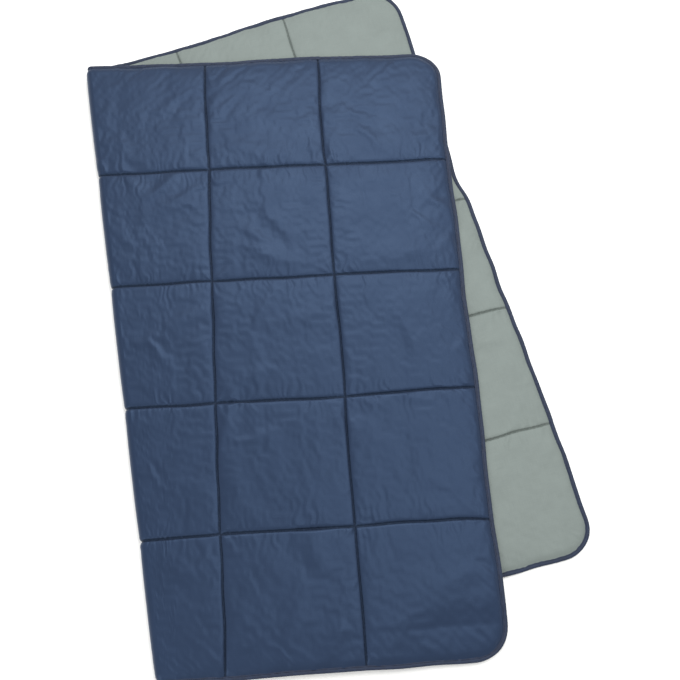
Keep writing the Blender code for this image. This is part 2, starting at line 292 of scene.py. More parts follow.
def swell(x, y, length, seed, count=7):
    """Soft bumps over a surface, about -1 to 1, of about the given wavelength."""
    chance = np.random.default_rng(seed)
    total = np.zeros_like(x)
    for _ in range(count):
        turn = chance.uniform(0.0, math.pi)
        span = length * chance.uniform(0.7, 1.4)
        along = x * math.cos(turn) + y * math.sin(turn)
        total += np.sin(2.0 * math.pi * (along / span + chance.uniform()))
    return total / math.sqrt(count)


# How thick the quilting is


DOME_REACH = 120.0
STEEP_SHARE = 0.76
DOME_SHARE = 0.24


def trench(distance, sizes):
    """Share of the loft beside a seam: steep at first, then a slow dome across the cell."""
    steep = 1.0 - np.exp(-distance / (sizes.seam_shoulder / MM))
    dome = 1.0 - (1.0 - np.clip(distance / DOME_REACH, 0.0, 1.0)) ** 2
    return STEEP_SHARE * steep + DOME_SHARE * dome


def fullness(half, s, v, sizes):
    """0 on a seam and 1 in the middle of a cell."""
    across = trench(nearest(s, COLUMN_SEAMS[half].values()), sizes)
    near = 1.0 - np.clip((crease(half, v) - s) / CREASE_FADE, 0.0, 1.0)
    across = across + (1.0 - across) * near
    along = trench(nearest(v, ROW_SEAMS.values()), sizes)
    edge = trench(from_binding(s, v, sizes), sizes)
    return across * along * edge


EDGE_SAG = {"lower": 4.8, "upper": 4.4}
EDGE_SAG_REACH = 25.0


def middle_level(half, s, v, sizes):
    """Height of the middle of the stack, which drops where a bound edge rests on what is below."""
    inside = from_binding(s, v, sizes)
    edge = np.exp(-inside / EDGE_SAG_REACH) * smooth((crease(half, v) - s) / 120.0)
    middle = 0.5 * LOFT if half == "lower" else 1.5 * LOFT
    return middle - EDGE_SAG[half] * edge - drape(half, s, v)


# Gathers of three sizes: how far apart they are, how far they reach and their share of the height
GATHERS = ((9.0, 8.0, 0.5), (17.0, 15.0, 0.6), (36.0, 30.0, 0.5))
ROW_GATHERS = 1.0
COLUMN_GATHERS = 0.6
EDGE_GATHERS = 0.9


def gathers(half, s, v, side, sizes):
    """Fine puckers that run out from the seams in patches, coarser the farther they reach."""
    chance = sizes.seed * 100 + 50 * HALVES.index(half) + 20 * side
    total = np.zeros_like(s)
    bend = 5.0 * swell(s, v, 45.0, chance + 1)
    inside = from_binding(s, v, sizes)
    round_edge = np.where(v < 0.5 * LENGTH, v - s, v + s)
    for index, (length, reach, share) in enumerate(GATHERS):
        seams = [(v - line, s + bend, ROW_GATHERS) for line in ROW_SEAMS.values()]
        seams += [(s - line, v + bend, COLUMN_GATHERS) for line in COLUMN_SEAMS[half].values()]
        seams.append((inside, round_edge + bend, EDGE_GATHERS))
        for number, (away, along, part) in enumerate(seams):
            for sign in (-1, 1):
                seed = chance + 40 * number + 10 * index + sign + 3
                on_side = np.clip(sign * away, 0.0, None) / reach
                shown = on_side * np.exp(1.0 - on_side)
                patches = np.clip(0.35 + waves(along, 140.0, seed + 2000), 0.0, 1.0)
                total += part * share * shown * patches * waves(along, length, seed + 3000)
    return sizes.gather_height / MM * total


def crumple(s, v, start, turn, length, width, bend):
    """One soft fold that starts sharp at a point and fades out along its way."""
    along = (s - start[0]) * math.cos(turn) + (v - start[1]) * math.sin(turn)
    across = (v - start[1]) * math.cos(turn) - (s - start[0]) * math.sin(turn) - bend * along**2
    part = np.clip(along / length, 0.0, 1.0)
    shown = np.sin(math.pi * part**0.6) ** 1.2
    spread_out = width * (0.6 + 0.8 * part)
    ridge = np.exp(-((across / spread_out) ** 2))
    hollow = np.exp(-(((across - 1.7 * spread_out) / (1.3 * spread_out)) ** 2))
    return shown * (ridge - 0.55 * hollow)


def crumples(half, s, v, side, sizes):
    """Folds that fan out of the seam crossings and others that lie across the cells."""
    chance = np.random.default_rng(sizes.seed + 31 * HALVES.index(half) + 17 * side)
    columns = [SIDE_MARGIN, FIRST_COLUMN, SECOND_COLUMN]
    rows = [HEAD_MARGIN + n * ROW_PITCH for n in range(ROW_COUNT + 1)]
    total = np.zeros_like(s)
    folds = []
    for row in rows[:-1]:
        for column in columns:
            for _ in range(4):
                place = (column + chance.uniform(20, 270), row + chance.uniform(20, 280))
                turn = chance.uniform(0.0, 2.0 * math.pi)
                size = chance.uniform(90.0, 200.0)
                width = size * chance.uniform(0.08, 0.18)
                folds.append((place, turn, size, width, chance.uniform(0.4, 1.0)))
    for row in rows:
        for column in columns + [SECOND_COLUMN + COLUMN_PITCH]:
            for _ in range(6):
                turn = chance.uniform(0.0, 2.0 * math.pi)
                size = chance.uniform(25.0, 75.0)
                folds.append(((column, row), turn, size, size * 0.1, chance.uniform(0.15, 0.55)))
    for place, turn, size, width, height in folds:
        bend = chance.uniform(-1.0, 1.0) * 0.25 / size
        near = slice(*np.searchsorted(v[:, -1], (place[1] - 1.3 * size, place[1] + 1.3 * size)))
        total[near] += height * crumple(s[near], v[near], place, turn, size, width, bend)
    return sizes.crease_height / MM * total


def faces_up(half, side):
    """Whether the navy (side 0) or the sage (side 1) cloth of a half is its upper cloth."""
    return (half == "upper") == (side == 0)


def cloth_level(half, side, s, v, sizes):
    """Height of the navy (side 0) or the sage (side 1) surface of a half, as it lies."""
    middle = middle_level(half, s, v, sizes)
    full = fullness(half, s, v, sizes)
    rise = 0.5 * SEAM_STACK + SLACK * full
    up = 1.0 if faces_up(half, side) else -1.0
    still = smooth(from_binding(s, v, sizes) / 12.0)
    at_seam = np.minimum(nearest(s, COLUMN_SEAMS[half].values()), nearest(v, ROW_SEAMS.values()))
    folds = crumples(half, s, v, side, sizes) if s.ndim == 2 else 0.0
    at_crease = smooth((crease(half, v) - s) / 60.0)
    folds = folds * smooth(at_seam / 9.0) * at_crease
    rise = rise + (gathers(half, s, v, side, sizes) + folds) * still
    return kept_apart(half, side, s, v, middle + up * rise)


def kept_apart(half, side, s, v, height):
    """Heights limited so that the halves and the ground don't cross."""
    if (half, side) == ("lower", 0):
        return np.maximum(height, 0.1)
    if (half, side) == ("lower", 1):
        covered = beyond("upper", *plan(half, s, v))
        lid = LOFT - 0.15 + 12.0 * smooth(covered / 40.0)
        return np.minimum(height, lid)
    if (half, side) == ("upper", 1):
        return np.maximum(height, LOFT + 0.15 - drape(half, s, v))
    return height


# Grids. A line across a half is a base position and a share of the way from there to the
# crease. Coarse lines carry the simulation, and each coarse interval is split for the mesh.


def spread(marks, step):
    """Lines through all the marks with even steps between them."""
    lines = [marks[0]]
    for first, second in zip(marks, marks[1:]):
        count = max(1, round((second - first) / step))
        lines += [first + (second - first) * k / count for k in range(1, count + 1)]
    return np.array(lines)


class Grid:
    """The lines of one half: coarse ones, and fine ones that include them."""

    def __init__(self, half, step_across, step_along):
        self.half = half
        last = UPPER_WIDTH - LENGTH * TAN - 30.0 if half == "upper" else MIDDLE_SEAM
        seams = [line for line in COLUMN_SEAMS[half].values() if line < last]
        marks = sorted([LAYER_INSET, CORNER_RADIUS, *seams, last])
        fixed = spread(marks, step_across)
        widest = max(crease(half, 0.0), crease(half, LENGTH)) - last
        shares = np.linspace(0.0, 1.0, round(widest / step_across) + 1)[1:]
        self.base = np.concatenate([fixed, np.full(len(shares), last)])
        self.share = np.concatenate([np.zeros(len(fixed)), shares])
        ends = [LAYER_INSET, CORNER_RADIUS, LENGTH - CORNER_RADIUS, LENGTH - LAYER_INSET]
        self.rows = spread(sorted(ends + list(ROW_SEAMS.values())), step_along)

    def splits(self):
        """Into how many parts each coarse interval goes, across and along."""
        across = 0.5 * (self.base[1:] + self.base[:-1])
        along = 0.5 * (self.rows[1:] + self.rows[:-1])
        at_column = nearest(across, COLUMN_SEAMS[self.half].values()) < 5.0
        at_row = nearest(along, ROW_SEAMS.values()) < 7.0
        at_column &= self.share[1:] == 0.0
        return np.where(at_column, 4, 2), np.where(at_row, 6, 2)

    def positions(self, fine):
        """s and v of every grid point, as two arrays of rows by columns."""
        base, share, rows = self.base, self.share, self.rows
        if fine:
            across, along = self.splits()
            places = fine_places(across)
            index = np.arange(len(base))
            base, share = np.interp(places, index, base), np.interp(places, index, share)
            rows = np.interp(fine_places(along), np.arange(len(rows)), rows)
        v = np.repeat(rows[:, None], len(base), 1)
        s = base[None, :] + share[None, :] * (crease(self.half, v) - base[None, :])
        return rounded(s, v)


def fine_places(parts):
    """Places of the fine lines, counted in coarse intervals."""
    places = [0.0]
    for index, count in enumerate(parts):
        places += [index + (k + 1) / count for k in range(count)]
    return np.array(places)


def refined(values, places):
    """Smooth cubic interpolation of rows of values at places counted in rows."""
    slope = np.gradient(values, axis=0)
    low = np.minimum(places.astype(int), len(values) - 2)
    t = (places - low).reshape(-1, *([1] * (values.ndim - 1)))
    first, second = values[low], values[low + 1]
    return (
        (2 * t**3 - 3 * t**2 + 1) * first
        + (t**3 - 2 * t**2 + t) * slope[low]
        + (3 * t**2 - 2 * t**3) * second
        + (t**3 - t**2) * slope[low + 1]
    )


# The dent in the free edge of the lower half
DENT_PLACE = 545.0
DENT_LENGTH = 75.0
DENT_REACH = 260.0
DENT_DEPTH = 15.0


def wandered(half, s, v, sizes):
    """Small drift of the cut and of the seams, which are never quite straight."""
    fade = smooth((crease(half, v) - s) / 200.0)
    seed = sizes.seed + 10 * HALVES.index(half)
    across = 2.6 * swell(s, v, 420.0, seed) + 0.9 * swell(s, v, 110.0, seed + 1)
    along = 2.2 * swell(s, v, 380.0, seed + 2) + 0.8 * swell(s, v, 100.0, seed + 3)
    if half == "lower":
        dent = np.exp(-(((v - DENT_PLACE) / DENT_LENGTH) ** 2)) * smooth(1.0 - s / DENT_REACH)
        across += DENT_DEPTH * dent
    return s + fade * across, v + fade * along


def laid(half, s, v, height, sizes):
    """Points of a half in the frame, in millimetres, as an array of rows of three."""
    x, y = plan(half, *wandered(half, s, v, sizes))
    return np.stack([x, y, height], -1) + CREASE_HEAD


# Meshes


def grid_faces(rows, columns, turned):
    """Quads of a grid of points, anticlockwise seen from above unless turned over."""
    at = np.arange(rows * columns).reshape(rows, columns)
    corners = [at[:-1, :-1], at[:-1, 1:], at[1:, 1:], at[1:, :-1]]
    if turned:
        corners.reverse()
    return np.stack([c.ravel() for c in corners], 1).tolist()


def ring_faces(sections, count, closed_ends):
    """Quads of a tube of sections with count points each, and its ends."""
    at = np.arange(sections * count).reshape(sections, count)
    after = np.roll(at, -1, 1)
    corners = [at[:-1], after[:-1], after[1:], at[1:]]
    faces = np.stack([c.ravel() for c in corners], 1).tolist()
    if closed_ends:
        faces.append(at[0, ::-1].tolist())
        faces.append(at[-1].tolist())
    return faces


def add_piece(name, points, faces, cloth_place, material):
    """A smooth mesh from points in millimetres, with the cloth's own coordinates as its map."""
    mesh = bpy.data.meshes.new(name)
    points = np.asarray(points).reshape(-1, 3) * MM
    mesh.from_pydata(points.tolist(), [], faces)
    mesh.shade_smooth()
    corner = np.empty(len(mesh.loops), np.int32)
    mesh.loops.foreach_get("vertex_index", corner)
    place = np.asarray(cloth_place).reshape(-1, 2) * MM
    uv = mesh.uv_layers.new(name="cloth").uv
    uv.foreach_set("vector", place[corner].astype(np.float32).ravel())
    mesh.materials.append(material)
    made = bpy.data.objects.new(name, mesh)
    bpy.context.scene.collection.objects.link(made)
    return made


def tube(path, side, radius, corners):
    """Points round a path: side is the direction across it in the cloth, and up is +Z."""
    along = np.gradient(path, axis=0)
    along /= np.linalg.norm(along, axis=1, keepdims=True)
    across = side - along * np.sum(side * along, 1, keepdims=True)
    across /= np.linalg.norm(across, axis=1, keepdims=True)
    up = np.cross(along, across)
    turns = 2.0 * math.pi * np.arange(corners) / corners
    ring = np.cos(turns)[None, :, None] * across[:, None] + np.sin(turns)[None, :, None] * up[:, None]
    return path[:, None] + radius * ring


# Cloth simulation. The cloth starts on the stuffed shape, a little too long for it. Seams,
# tape and crease hold it, the batting holds it softly, and the spare length makes wrinkles.


SETTLE_FRAMES = 20
MOST_MOVE = 2.2
SOFT_HOLD = 0.06
SETTLED = {}
CLOTH_SETTINGS = {
    "quality": 5,
    "mass": 0.02,
    "air_damping": 5.0,
    "tension_stiffness": 15.0,
    "compression_stiffness": 15.0,
    "shear_stiffness": 5.0,
    "bending_stiffness": 1.0,
    "tension_damping": 5.0,
    "compression_damping": 5.0,
    "pin_stiffness": 1.0,
}


def relaxed(name, points, hold, spare):
    """Where a grid of cloth points settles, in millimetres."""
    rows, columns = points.shape[:2]
    mesh = bpy.data.meshes.new(name)
    start = (points.reshape(-1, 3) * MM).tolist()
    mesh.from_pydata(start, [], grid_faces(rows, columns, False))
    cloth = bpy.data.objects.new(name, mesh)
    bpy.context.scene.collection.objects.link(cloth)
    group = cloth.vertex_groups.new(name="hold")
    for level in np.unique(hold):
        chosen = np.flatnonzero(hold.ravel() == level).tolist()
        group.add(chosen, float(level), "REPLACE")
    modifier = cloth.modifiers.new("cloth", "CLOTH")
    for name, value in CLOTH_SETTINGS.items():
        setattr(modifier.settings, name, value)
    modifier.settings.shrink_min = -spare
    modifier.settings.vertex_group_mass = "hold"
    modifier.settings.effector_weights.gravity = 0.0
    modifier.collision_settings.use_collision = False
    modifier.point_cache.frame_start = 1
    modifier.point_cache.frame_end = SETTLE_FRAMES
    for number in range(1, SETTLE_FRAMES + 1):
        bpy.context.scene.frame_set(number)
    depsgraph = bpy.context.evaluated_depsgraph_get()
    settled = cloth.evaluated_get(depsgraph)
    found = np.empty(rows * columns * 3)
    settled.data.vertices.foreach_get("co", found)
    bpy.data.objects.remove(cloth)
    bpy.context.scene.frame_set(1)
    return found.reshape(points.shape) / MM


def cloth_points(half, side, sizes):
    """Points of one cloth of a half, and the s and v of each. Each cloth settles once."""
    if (half, side) in SETTLED:
        return SETTLED[half, side]
    grid = grid_of(half)
    s, v = grid.positions(fine=True)
    points = laid(half, s, v, cloth_level(half, side, s, v, sizes), sizes)
    s_coarse, v_coarse = grid.positions(fine=False)
    height = cloth_level(half, side, s_coarse, v_coarse, sizes)
    start = laid(half, s_coarse, v_coarse, height, sizes)
    held = nearest(s_coarse, COLUMN_SEAMS[half].values()) < 1.0
    held |= nearest(v_coarse, ROW_SEAMS.values()) < 1.0
    held |= from_binding(s_coarse, v_coarse, sizes) <= 0.0
    held |= (crease(half, v_coarse) - s_coarse) < 2.0
    settled = relaxed("settling", start, np.where(held, 1.0, SOFT_HOLD), sizes.spare_cloth)
    move = settled - start
    far = np.linalg.norm(move, axis=-1, keepdims=True)
    move *= np.tanh(far / MOST_MOVE) * MOST_MOVE / np.maximum(far, 1e-6)
    across, along = grid.splits()
    move = refined(move, fine_places(along))
    move = refined(move.transpose(1, 0, 2), fine_places(across)).transpose(1, 0, 2)
    points = points + move
    base = CREASE_HEAD[2]
    points[..., 2] = kept_apart(half, side, s, v, points[..., 2] - base) + base
    SETTLED[half, side] = points, s, v
    return SETTLED[half, side]


# Materials


def add_node(tree, kind, inputs=None, stops=(), **settings):
    """One shader node with its settings, its input values and links, and a ramp's colour stops."""
    made = tree.nodes.new("ShaderNode" + kind)
    for name, value in settings.items():
        setattr(made, name, value)
    for number, (place, colour) in enumerate(stops):
        made.color_ramp.elements[number].position = place
        made.color_ramp.elements[number].color = colour
    for socket, value in (inputs or {}).items():
        if isinstance(value, bpy.types.NodeSocket):
            tree.links.new(value, made.inputs[socket])
        else:
            made.inputs[socket].default_value = value
    return made


def new_material(name):
    """A material, its nodes, its main shader and the cloth's own coordinates in metres."""
    made = bpy.data.materials.new(name)
    made.use_nodes = True
    place = add_node(made.node_tree, "UVMap", uv_map="cloth").outputs["UV"]
    return made, made.node_tree, made.node_tree.nodes["Principled BSDF"], place


def shade(tree, shader, **inputs):
    """Set or link inputs of the main shader; spaces in their names are written as underscores."""
    for name, value in inputs.items():
        socket = shader.inputs[name.replace("_", " ")]
        if isinstance(value, bpy.types.NodeSocket):
            tree.links.new(value, socket)
        else:
            socket.default_value = value


def wave_scale(spacing):
    """Scale of a wave texture whose bands are this many metres apart."""
    return 1.0 / spacing / 20.0


def scaled(colour, factor):
    """A colour made darker or lighter, with full opacity."""
    return (*[min(1.0, c * factor) for c in colour[:3]], 1.0)


def taffeta(name, colour, roughness, specular, gloss, slub_depth, painted_seam_shade):
    """Polyester taffeta: plain weave of smooth filament, calendered, so it has a soft satin gloss.

    The threads are 0.15 mm apart, far too fine to show, so the weave is drawn as its slubs:
    thick threads 1.5 mm wide and 35 mm long, along and across the cloth. The last argument is
    how bright the colour is painted in the needle line: painted shade for the gathers that shade it.
    """
    made, tree, shader, place = new_material(name)
    wide, long = 1 / 0.0015, 1 / 0.035
    threads = []
    for scale in ((wide, long, 1.0), (long, wide, 1.0)):
        stretched = add_node(tree, "Mapping", {"Vector": place, "Scale": scale}).outputs["Vector"]
        slub = add_node(tree, "TexNoise", {"Vector": stretched, "Scale": 1.0, "Detail": 2.0})
        threads.append(slub.outputs["Fac"])
    weave = add_node(tree, "Math", {0: threads[0], 1: threads[1]}, operation="ADD").outputs[0]
    weave = add_node(tree, "Math", {0: weave, 1: 0.5}, operation="MULTIPLY").outputs[0]
    cloud = add_node(tree, "TexNoise", {"Vector": place, "Scale": 16.0, "Detail": 3.0}).outputs["Fac"]
    shift = add_node(tree, "Math", {0: weave, 1: cloud}, operation="ADD").outputs[0]
    shift = add_node(tree, "Math", {0: shift, 1: 0.5}, operation="MULTIPLY").outputs[0]
    shades = ((0.3, scaled(colour, 0.88)), (0.7, scaled(colour, 1.1)))
    dye = add_node(tree, "ValToRGB", {"Fac": shift}, shades).outputs["Color"]

    # Painted shade along the needle line, with ragged edges where the gathers close over it
    seam = add_node(tree, "Attribute", attribute_name="seam").outputs["Fac"]
    ragged = add_node(tree, "TexNoise", {"Vector": place, "Scale": 170.0, "Detail": 2.0}).outputs["Fac"]
    reach = {"Value": ragged, "From Min": 0.3, "From Max": 0.7, "To Min": 0.9, "To Max": 2.2}
    ragged = add_node(tree, "MapRange", reach).outputs["Result"]
    seam = add_node(tree, "Math", {0: seam, 1: ragged}, operation="MULTIPLY").outputs[0]
    depth = {"Value": seam, "From Min": 0.35, "From Max": 1.1, "To Min": 0.0, "To Max": 0.8}
    seam = add_node(tree, "MapRange", depth).outputs["Result"]
    # At the seams the dye is mixed towards a darker shade of itself: painted shade
    mixed = {"Factor": seam, 6: dye, 7: scaled(colour, painted_seam_shade)}
    dye_and_seam_shade = add_node(tree, "Mix", mixed, data_type="RGBA").outputs[2]

    worn = {"Value": cloud, "From Min": 0.3, "From Max": 0.7}
    worn |= {"To Min": roughness - 0.04, "To Max": roughness + 0.04}
    rough = add_node(tree, "MapRange", worn).outputs["Result"]
    bump = {"Height": weave, "Strength": 0.25, "Distance": slub_depth}
    bump = add_node(tree, "Bump", bump).outputs["Normal"]
    crinkle = {"Vector": place, "Scale": 60.0, "Detail": 3.0, "Distortion": 0.6}
    crinkle = add_node(tree, "TexNoise", crinkle).outputs["Fac"]
    bump = {"Height": crinkle, "Strength": 0.3, "Distance": 0.0006, "Normal": bump}
    bump = add_node(tree, "Bump", bump).outputs["Normal"]
    shade(
        tree, shader, Base_Color=dye_and_seam_shade, Roughness=rough, Normal=bump,
        Sheen_Weight=0.1, Sheen_Roughness=0.4, Sheen_Tint=(*gloss, 1.0),
        Specular_IOR_Level=specular, Specular_Tint=(*gloss, 1.0),
    )
    return made


def grosgrain(name, colour):
    """Woven polyester tape: ribs across it every 0.9 mm catch the light as a fine comb."""
    made, tree, shader, place = new_material(name)
    ribs = {"Vector": place, "Scale": wave_scale(0.0009), "Distortion": 0.4, "Detail": 1.0}
    ribs = add_node(tree, "TexWave", ribs, wave_type="BANDS", bands_direction="X").outputs["Fac"]
    worn = add_node(tree, "TexNoise", {"Vector": place, "Scale": 90.0, "Detail": 3.0}).outputs["Fac"]
    shades = ((0.3, scaled(colour, 0.85)), (0.7, scaled(colour, 1.2)))
    dye = add_node(tree, "ValToRGB", {"Fac": worn}, shades).outputs["Color"]
    bump = {"Height": ribs, "Strength": 0.4, "Distance": 0.0003}
    bump = add_node(tree, "Bump", bump).outputs["Normal"]
    shade(
        tree, shader, Base_Color=dye, Roughness=0.62, Normal=bump,
        Sheen_Weight=0.12, Sheen_Roughness=0.35, Specular_IOR_Level=0.3,
    )
    return made


def spun_thread(name, colour):
    """Two-ply spun polyester: matt, with its twist every 1.2 mm as slanted bands."""
    made, tree, shader, place = new_material(name)
    ply = {"Vector": place, "Scale": wave_scale(0.0012)}
    ply = add_node(tree, "TexWave", ply, wave_type="BANDS", bands_direction="DIAGONAL").outputs["Fac"]
    shades = ((0.0, scaled(colour, 0.75)), (1.0, scaled(colour, 1.15)))
    dye = add_node(tree, "ValToRGB", {"Fac": ply}, shades).outputs["Color"]
    bump = {"Height": ply, "Strength": 0.5, "Distance": 0.0002}
    bump = add_node(tree, "Bump", bump).outputs["Normal"]
    shade(tree, shader, Base_Color=dye, Roughness=0.7, Normal=bump, Specular_IOR_Level=0.3)
    return made


def fibre_batting(name, colour):
    """Carded polyester fibre: white, matt and cloudy, with loose fibres every few millimetres."""
    made, tree, shader, place = new_material(name)
    fibre = {"Vector": place, "Scale": 220.0, "Detail": 6.0, "Distortion": 1.5}
    fibre = add_node(tree, "TexNoise", fibre).outputs["Fac"]
    shades = ((0.0, scaled(colour, 0.82)), (1.0, scaled(colour, 1.0)))
    dye = add_node(tree, "ValToRGB", {"Fac": fibre}, shades).outputs["Color"]
    bump = {"Height": fibre, "Strength": 0.8, "Distance": 0.002}
    bump = add_node(tree, "Bump", bump).outputs["Normal"]
    shade(tree, shader, Base_Color=dye, Roughness=0.95, Normal=bump, Specular_IOR_Level=0.2)
    return made


def studio_paper(name, colour):
    """Seamless background paper: pulp fibre, matt, nearly white."""
    made = bpy.data.materials.new(name)
    made.use_nodes = True
    tree = made.node_tree
    shader = tree.nodes["Principled BSDF"]
    place = add_node(tree, "TexCoord").outputs["Object"]
    pulp = add_node(tree, "TexNoise", {"Vector": place, "Scale": 400.0, "Detail": 3.0}).outputs["Fac"]
    bump = {"Height": pulp, "Strength": 0.1, "Distance": 0.0002}
    bump = add_node(tree, "Bump", bump).outputs["Normal"]
    paper = scaled(colour, 1.0)
    shade(tree, shader, Base_Color=paper, Roughness=0.9, Normal=bump, Specular_IOR_Level=0.1)
    return made


def finish_of(slot):
    """The material of a slot of the record, made when it is first asked for."""
    dyes = bpy.context.scene.camp_blanket_colours
    # The last number for the face and the lining is how bright their painted seam shade is
    face = (dyes.face, 0.42, 0.36, dyes.face_gloss, 0.0006, 0.15)
    lining = (dyes.lining, 0.58, 0.32, dyes.lining_gloss, 0.0005, 0.45)
    name, maker, values = {
        "navy_face_cloth": ("polyester taffeta, navy", taffeta, face),
        "sage_lining_cloth": ("polyester taffeta, sage", taffeta, lining),
        "polyester_batting": ("carded polyester batting", fibre_batting, (dyes.batting,)),
        "navy_binding_tape": ("polyester grosgrain tape, navy", grosgrain, (dyes.tape,)),
        "navy_sewing_thread": ("spun polyester thread, navy", spun_thread, (dyes.face_thread,)),
        "sage_sewing_thread": ("spun polyester thread, sage", spun_thread, (dyes.lining_thread,)),
    }[slot]
    return bpy.data.materials.get(name) or maker(name, *values)


def finished(made, body, slot, *nodes):
    """Let a piece ride on its body in place of its nodes of the frame."""
    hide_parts(*nodes)
    if body is not None:
        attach(made, body)
    return made


def bent(made, lowest, slot, *nodes):
    """Hide the piece's nodes of the frame and bake its place into its mesh.

    Lowest is not used.
    """
    finished(made, None, slot, *nodes)
    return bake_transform(made)


# Levels at the fold for the face and the lining with their threads, the batting and the tape
FOLD_LEVEL = (4.0, 10.0)
BATTING_FOLD_LEVEL = 7.0
TAPE_FOLD_LEVEL = 8.0

GRID_ACROSS = 6.6
GRID_ALONG = 10.5
RING_STEPS = 24


def grid_of(half):
    return Grid(half, GRID_ACROSS, GRID_ALONG)


def ring_points(angle, v, radius):
    """Points on half rings about the crease: angle 0 is under it and pi above it."""
    angle, v, radius = np.broadcast_arrays(angle, v, radius)
    points = np.stack([-radius * np.sin(angle), -v / COS, LOFT - radius * np.cos(angle)], -1)
    return points + CREASE_HEAD


def ring_radius(side, angle, v, sizes):
    """Distance of a cloth from the crease line, from just under it to just above it."""
    under = LOFT - cloth_level("lower", side, crease("lower", v), v, sizes)
    over = cloth_level("upper", side, crease("upper", v), v, sizes) - LOFT
    return under + (over - under) * (0.5 - 0.5 * np.cos(angle))


def ring_grid(grid, steps):
    _, v = grid.positions(fine=True)
    angle = np.linspace(0.0, math.pi, steps + 1)
    return np.meshgrid(angle, v[:, -1])


def mark_seams(made, half, s, v):
    """Store how close each point is to a seam, where the material paints shade for the gathered cloth
    over the needle holes.
    """
    rows = np.exp(-((nearest(v, ROW_SEAMS.values()) / 3.4) ** 2))
    columns = np.exp(-((nearest(s, COLUMN_SEAMS[half].values()) / 2.8) ** 2))
    columns = columns * ((crease(half, v) - s) > CREASE_FADE)
    near = made.data.attributes.new("seam", "FLOAT", "POINT")
    near.data.foreach_set("value", np.maximum(rows, columns).astype(np.float32).ravel())


def cloth_piece(part, half, side, slot, sizes):
    """One cloth of a half."""
    points, s, v = cloth_points(half, side, sizes)
    mirrored = half == "lower"
    faces = grid_faces(*s.shape, faces_up(half, side) != mirrored)
    made = add_piece(f"{part}_{half}_cloth", points, faces, np.stack([s, v], -1), finish_of(slot))
    mark_seams(made, half, s, v)
    return finished(made, half + "_half", slot, f"{part}_{half}")


def fold_cloth_piece(part, side, slot, sizes):
    """One cloth where it turns round the fold."""
    angle, v = ring_grid(grid_of("upper"), RING_STEPS)
    radius = ring_radius(side, angle, v, sizes)
    points = ring_points(angle, v, radius)
    faces = grid_faces(*v.shape, side == 1)
    place = np.stack([UPPER_WIDTH + angle * radius, v], -1)
    made = add_piece(f"{part}_fold_cloth", points, faces, place, finish_of(slot))
    mark_seams(made, "upper", np.full_like(v, SECOND_COLUMN + 0.5 * COLUMN_PITCH), v)
    return bent(made, FOLD_LEVEL[side], slot, f"{part}_fold")


# Batting


FILL_INSET = 1.8
FOLD_INSET = 0.9
THINNEST_FILL = 0.4


def shell_between(rows, columns):
    """Faces of the closed body between two grids of the same size, one after the other."""
    count = rows * columns
    faces = grid_faces(rows, columns, False)
    faces += [[corner + count for corner in face] for face in grid_faces(rows, columns, True)]
    at = np.arange(count).reshape(rows, columns)
    rim = np.concatenate([at[0, :-1], at[:-1, -1], at[-1, :0:-1], at[:0:-1, 0]])
    after = np.roll(rim, -1).tolist()
    faces += [[b, a, a + count, b + count] for a, b in zip(rim.tolist(), after)]
    return faces


def batting_half(half, sizes):
    """The batting fills what the two settled cloths of a half leave between them."""
    across, along = grid_of(half).splits()
    coarse = np.ix_(fine_places(along) % 1.0 == 0.0, fine_places(across) % 1.0 == 0.0)
    (navy, s, v), (sage, _, _) = [cloth_points(half, side, sizes) for side in (0, 1)]
    navy, sage, place = navy[coarse], sage[coarse], np.stack([s, v], -1)[coarse]
    gap = np.maximum(np.abs(navy[..., 2:] - sage[..., 2:]), 0.01)
    share = np.minimum(0.45, FILL_INSET / gap)
    layers = [navy + (sage - navy) * share, sage + (navy - sage) * share]
    if half == "upper":
        layers.reverse()
    faces = shell_between(*layers[0].shape[:2])
    material = finish_of("polyester_batting")
    place = np.stack([place, place])
    made = add_piece(f"batting_{half}_fibre", np.stack(layers), faces, place, material)
    finished(made, half + "_half", "polyester_batting", "batting_" + half)
    return made


def batting_fold(sizes):
    angle, v = ring_grid(grid_of("upper"), RING_STEPS // 2)
    outer = ring_radius(0, angle, v, sizes) - FOLD_INSET
    inner = np.minimum(ring_radius(1, angle, v, sizes) + FOLD_INSET, outer - THINNEST_FILL)
    layers = [ring_points(angle, v, inner), ring_points(angle, v, outer)]
    place = np.stack([np.stack([UPPER_WIDTH + angle * outer, v], -1)] * 2)
    faces = shell_between(*v.shape)
    material = finish_of("polyester_batting")
    made = add_piece("batting_fold_fibre", np.stack(layers), faces, place, material)
    bent(made, BATTING_FOLD_LEVEL, "polyester_batting", "batting_fold")
    return made


# Binding


TAPE_STEP = 4.0
TAPE_HALF = 2.8


def edge_line(half, offset):
    """s and v along the edge of a half at an offset inwards, from crease round to crease."""
    radius = CORNER_RADIUS - offset
    long_side = LENGTH - 2.0 * CORNER_RADIUS
    head = np.linspace(crease(half, offset), CORNER_RADIUS, edge_count(crease(half, 0.0)))[:-1]
    turn = np.linspace(1.5 * math.pi, math.pi, edge_count(1.6 * CORNER_RADIUS))[:-1]
    side = CORNER_RADIUS + np.linspace(0.0, long_side, edge_count(long_side))[:-1]
    second = np.linspace(math.pi, 0.5 * math.pi, edge_count(1.6 * CORNER_RADIUS))[:-1]
    far = LENGTH - offset
    foot = np.linspace(CORNER_RADIUS, crease(half, far), edge_count(crease(half, LENGTH)))
    s = [head, CORNER_RADIUS + radius * np.cos(turn), np.full(len(side), offset)]
    v = [np.full(len(head), offset), CORNER_RADIUS + radius * np.sin(turn), side]
    s += [CORNER_RADIUS + radius * np.cos(second), foot]
    v += [LENGTH - CORNER_RADIUS + radius * np.sin(second), np.full(len(foot), far)]
    return np.concatenate(s), np.concatenate(v)


def edge_count(length):
    return max(4, round(length / TAPE_STEP))


def run_along(s, v):
    """Distance travelled along a line of s and v."""
    return np.concatenate([[0.0], np.cumsum(np.hypot(np.diff(s), np.diff(v)))])


